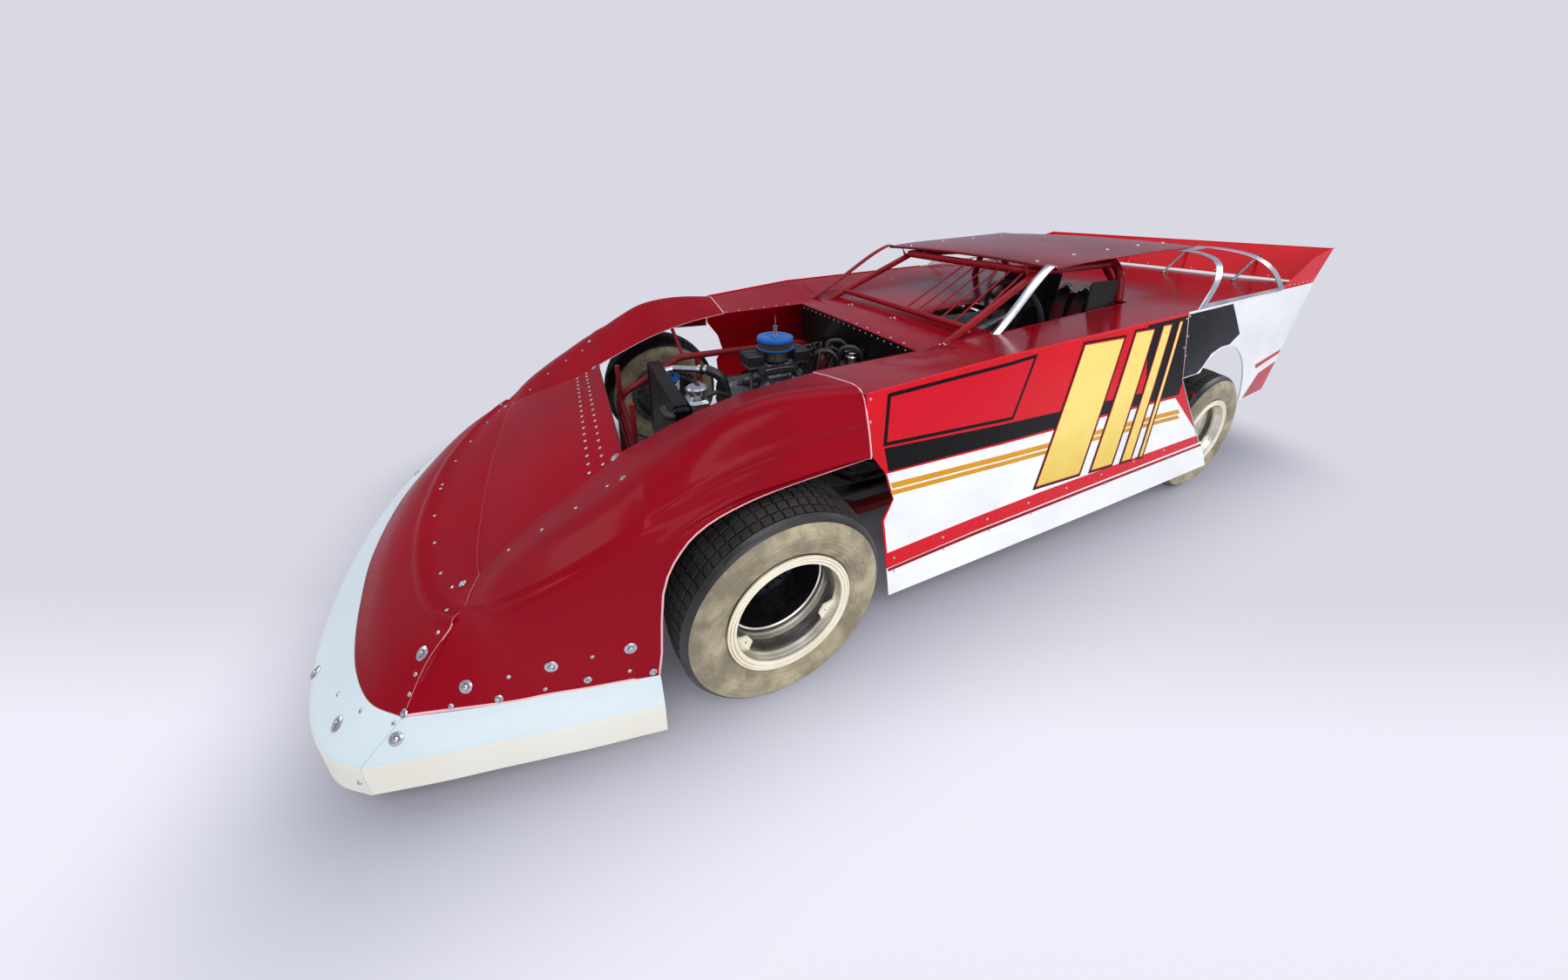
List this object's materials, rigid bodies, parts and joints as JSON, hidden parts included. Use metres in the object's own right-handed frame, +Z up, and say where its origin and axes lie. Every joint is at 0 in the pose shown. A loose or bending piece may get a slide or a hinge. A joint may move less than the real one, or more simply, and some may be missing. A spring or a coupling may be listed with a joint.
{
  "type": "dirt oval racing car",
  "caption": "Dirt oval racing car with a moulded wedge nose, open engine bay, flat sheet sides, caged cockpit, roof on sail panels, rear spoiler, steered front wheels and wide tyres.",
  "frame": {"origin": "on the ground, at the middle of the length and width of the car", "axes": "+X forwards towards the nose, +Y to the left, +Z up"},
  "size_m": [5.2204, 2.2, 1.356],
  "materials": {
    "frame_red": "satin",
    "cage_red": "gloss",
    "engine_metal": "satin",
    "cleaner_blue": "satin",
    "exhaust_black": "matte",
    "radiator_aluminium": "satin",
    "suspension_steel": "satin",
    "coil_paint": "gloss",
    "tank_black": "matte",
    "wheel_grip": "matte",
    "seat_cover": "matte",
    "tub_aluminium": "satin",
    "tyre_rubber": "matte",
    "rim_metal": "satin",
    "nose_plastic": "gloss",
    "panel_red": "gloss",
    "valance_plastic": "gloss",
    "door_graphic": "gloss",
    "quarter_white": "gloss",
    "roof_red": "gloss",
    "sail_bright": "gloss"
  },
  "bodies": {
    "chassis": {"frame": "frame_red", "front_clip": "frame_red", "rear_clip": "frame_red", "rear_bumper": "frame_red", "roll_cage": "cage_red", "cage_bars": "cage_red", "body_stays": "frame_red", "engine": "engine_metal", "air_cleaner": "cleaner_blue", "exhaust": "exhaust_black", "radiator": "radiator_aluminium", "driveline": "engine_metal", "rear_axle": "suspension_steel", "rear_links": "suspension_steel", "fuel_tank": "tank_black", "arms_front": "suspension_steel", "coilovers": "coil_paint", "steering_column": "suspension_steel", "seat": "seat_cover", "cockpit_tub": "tub_aluminium", "nose_cover": "nose_plastic", "nose_panel": "panel_red", "fender_left": "nose_plastic", "fender_right": "nose_plastic", "valance": "valance_plastic", "front_deck": "panel_red", "rear_deck": "panel_red", "doors": "door_graphic", "quarters": "quarter_white", "rocker_skirts": "quarter_white", "roof": "roof_red", "sails": "sail_bright", "spoiler": "panel_red", "front_posts": "sail_bright", "tail_panel": "panel_red"},
    "steer_left": {"knuckle_left": "suspension_steel"},
    "steer_right": {"knuckle_right": "suspension_steel"},
    "rack": {"tie_rods": "suspension_steel"},
    "wheel_front_left": {"tyre_front_left": "tyre_rubber", "rim_front_left": "rim_metal"},
    "wheel_front_right": {"tyre_front_right": "tyre_rubber", "rim_front_right": "rim_metal"},
    "wheel_rear_left": {"tyre_rear_left": "tyre_rubber", "rim_rear_left": "rim_metal"},
    "wheel_rear_right": {"tyre_rear_right": "tyre_rubber", "rim_rear_right": "rim_metal"},
    "steering": {"steering_wheel": "wheel_grip"}
  },
  "joints": [
    {"name": "steer_left_pivot", "type": "hinge", "parent": "chassis", "child": "steer_left", "pos_m": [1.223, 0.757, 0.355], "axis": [0, 0, 1], "range_deg": [-20, 20]},
    {"name": "steer_right_pivot", "type": "hinge", "parent": "chassis", "child": "steer_right", "pos_m": [1.223, -0.757, 0.355], "axis": [0, 0, 1], "range_deg": [-20, 20]},
    {"name": "rack_slide", "type": "slide", "parent": "chassis", "child": "rack", "axis": [0, 1, 0], "range_m": [-0.0362, 0.0362]},
    {"name": "steering_turn", "type": "hinge", "parent": "chassis", "child": "steering", "pos_m": [-0.56, 0.32, 0.985], "axis": [-0.9397, 0, 0.342], "range_deg": [-160.5, 160.5]},
    {"name": "roll_front_left", "type": "hinge", "parent": "steer_left", "child": "wheel_front_left", "pos_m": [1.223, 0.915, 0.355], "axis": [0, 1, 0], "continuous": true},
    {"name": "roll_front_right", "type": "hinge", "parent": "steer_right", "child": "wheel_front_right", "pos_m": [1.223, -0.915, 0.355], "axis": [0, 1, 0], "continuous": true},
    {"name": "roll_rear_left", "type": "hinge", "parent": "chassis", "child": "wheel_rear_left", "pos_m": [-1.393, 0.845, 0.355], "axis": [0, 1, 0], "continuous": true},
    {"name": "roll_rear_right", "type": "hinge", "parent": "chassis", "child": "wheel_rear_right", "pos_m": [-1.393, -0.845, 0.355], "axis": [0, 1, 0], "continuous": true}
  ],
  "couplings": [
    {"joint": "steer_right_pivot", "follows": "steer_left_pivot", "ratio": 1},
    {"joint": "rack_slide", "follows": "steer_left_pivot", "m_per_rad": -0.10288},
    {"joint": "steering_turn", "follows": "steer_left_pivot", "ratio": 8},
    {"joint": "roll_rear_right", "follows": "roll_rear_left", "ratio": 1}
  ]
}
